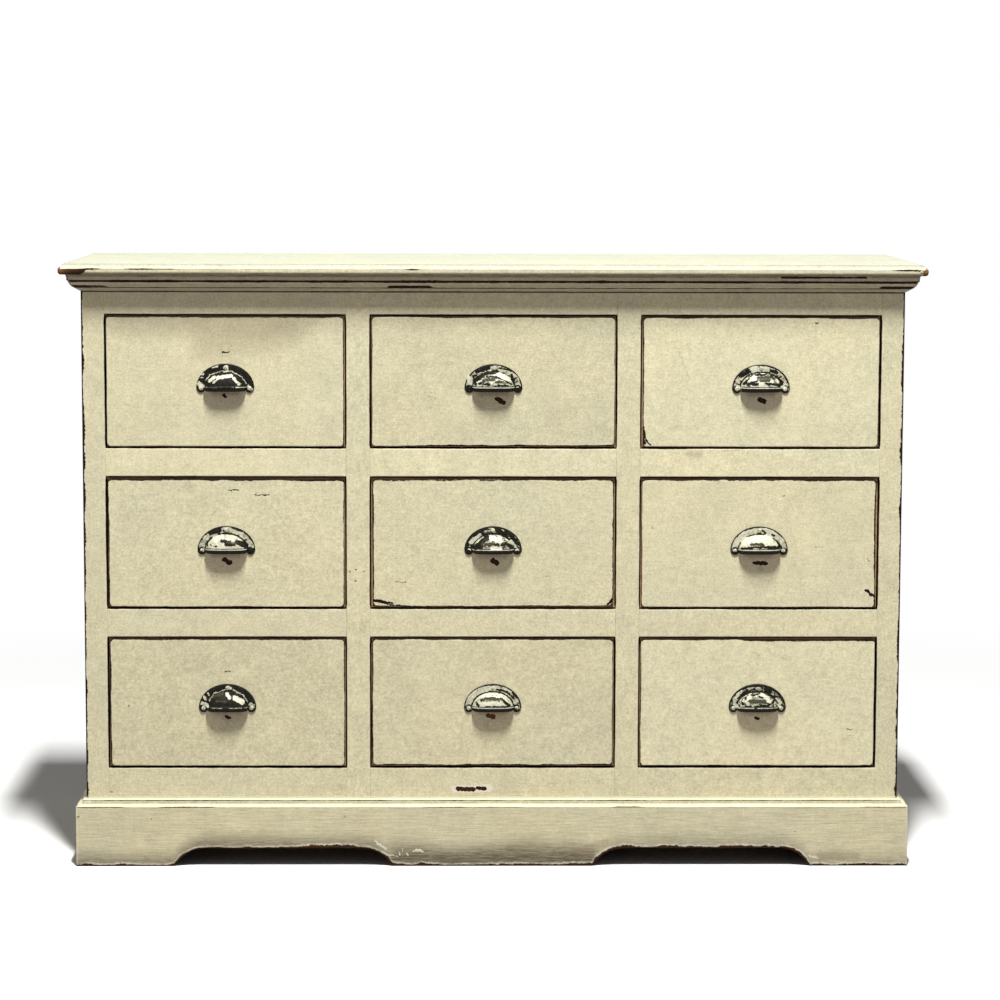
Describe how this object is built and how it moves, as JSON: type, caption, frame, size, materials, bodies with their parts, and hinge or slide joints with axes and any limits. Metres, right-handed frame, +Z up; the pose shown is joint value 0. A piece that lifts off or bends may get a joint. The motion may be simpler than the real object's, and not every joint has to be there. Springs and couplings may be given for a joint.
{
  "type": "chest of drawers",
  "caption": "Painted pine bank of inset drawers in three columns, with cup handles, a moulded top and an arched plinth.",
  "frame": {"origin": "middle of the top board's outline, on the floor", "axes": "+X along the width to the right as seen from the front, +Y from the front to the back, +Z up"},
  "size_m": [1.354, 0.455, 0.956],
  "materials": {
    "cream_paint": "old cream paint over dark brown, worn through along the edges",
    "raw_pine": "unpainted pine, planed",
    "painted_iron": "dark iron with most of a coat of cream paint left on it",
    "screw_steel": "steel screw heads under cream paint"
  },
  "bodies": {
    "carcase": {"top_board": "cream_paint", "cornice_front": "cream_paint", "cornice_returns": "cream_paint", "left_side": "cream_paint", "right_side": "cream_paint", "partitions": "raw_pine", "outer_stiles": "cream_paint", "mid_stiles": "cream_paint", "top_rails": "cream_paint", "upper_drawer_rails": "cream_paint", "lower_drawer_rails": "cream_paint", "bottom_rails": "cream_paint", "drawer_runners": "raw_pine", "drawer_guides": "raw_pine", "drawer_kickers": "raw_pine", "drawer_stops": "raw_pine", "back_boards": "raw_pine", "bottom_board": "raw_pine", "plinth_front": "cream_paint", "plinth_sides": "cream_paint", "plinth_back": "raw_pine", "plinth_cap_front": "cream_paint", "plinth_cap_returns": "cream_paint", "glue_blocks": "raw_pine"},
    "drawer_top_left": {"drawer_front_top_left": "cream_paint", "drawer_box_top_left": "raw_pine", "cup_handle_top_left": "painted_iron", "handle_screws_top_left": "screw_steel"},
    "drawer_top_centre": {"drawer_front_top_centre": "cream_paint", "drawer_box_top_centre": "raw_pine", "cup_handle_top_centre": "painted_iron", "handle_screws_top_centre": "screw_steel"},
    "drawer_top_right": {"drawer_front_top_right": "cream_paint", "drawer_box_top_right": "raw_pine", "cup_handle_top_right": "painted_iron", "handle_screws_top_right": "screw_steel"},
    "drawer_middle_left": {"drawer_front_middle_left": "cream_paint", "drawer_box_middle_left": "raw_pine", "cup_handle_middle_left": "painted_iron", "handle_screws_middle_left": "screw_steel"},
    "drawer_middle_centre": {"drawer_front_middle_centre": "cream_paint", "drawer_box_middle_centre": "raw_pine", "cup_handle_middle_centre": "painted_iron", "handle_screws_middle_centre": "screw_steel"},
    "drawer_middle_right": {"drawer_front_middle_right": "cream_paint", "drawer_box_middle_right": "raw_pine", "cup_handle_middle_right": "painted_iron", "handle_screws_middle_right": "screw_steel"},
    "drawer_bottom_left": {"drawer_front_bottom_left": "cream_paint", "drawer_box_bottom_left": "raw_pine", "cup_handle_bottom_left": "painted_iron", "handle_screws_bottom_left": "screw_steel"},
    "drawer_bottom_centre": {"drawer_front_bottom_centre": "cream_paint", "drawer_box_bottom_centre": "raw_pine", "cup_handle_bottom_centre": "painted_iron", "handle_screws_bottom_centre": "screw_steel"},
    "drawer_bottom_right": {"drawer_front_bottom_right": "cream_paint", "drawer_box_bottom_right": "raw_pine", "cup_handle_bottom_right": "painted_iron", "handle_screws_bottom_right": "screw_steel"}
  },
  "joints": [
    {"name": "slide_top_left", "type": "slide", "parent": "carcase", "child": "drawer_top_left", "axis": [0, -1, 0], "range_m": [0, 0.3]},
    {"name": "slide_top_centre", "type": "slide", "parent": "carcase", "child": "drawer_top_centre", "axis": [0, -1, 0], "range_m": [0, 0.3]},
    {"name": "slide_top_right", "type": "slide", "parent": "carcase", "child": "drawer_top_right", "axis": [0, -1, 0], "range_m": [0, 0.3]},
    {"name": "slide_middle_left", "type": "slide", "parent": "carcase", "child": "drawer_middle_left", "axis": [0, -1, 0], "range_m": [0, 0.3]},
    {"name": "slide_middle_centre", "type": "slide", "parent": "carcase", "child": "drawer_middle_centre", "axis": [0, -1, 0], "range_m": [0, 0.3]},
    {"name": "slide_middle_right", "type": "slide", "parent": "carcase", "child": "drawer_middle_right", "axis": [0, -1, 0], "range_m": [0, 0.3]},
    {"name": "slide_bottom_left", "type": "slide", "parent": "carcase", "child": "drawer_bottom_left", "axis": [0, -1, 0], "range_m": [0, 0.3]},
    {"name": "slide_bottom_centre", "type": "slide", "parent": "carcase", "child": "drawer_bottom_centre", "axis": [0, -1, 0], "range_m": [0, 0.3]},
    {"name": "slide_bottom_right", "type": "slide", "parent": "carcase", "child": "drawer_bottom_right", "axis": [0, -1, 0], "range_m": [0, 0.3]}
  ]
}
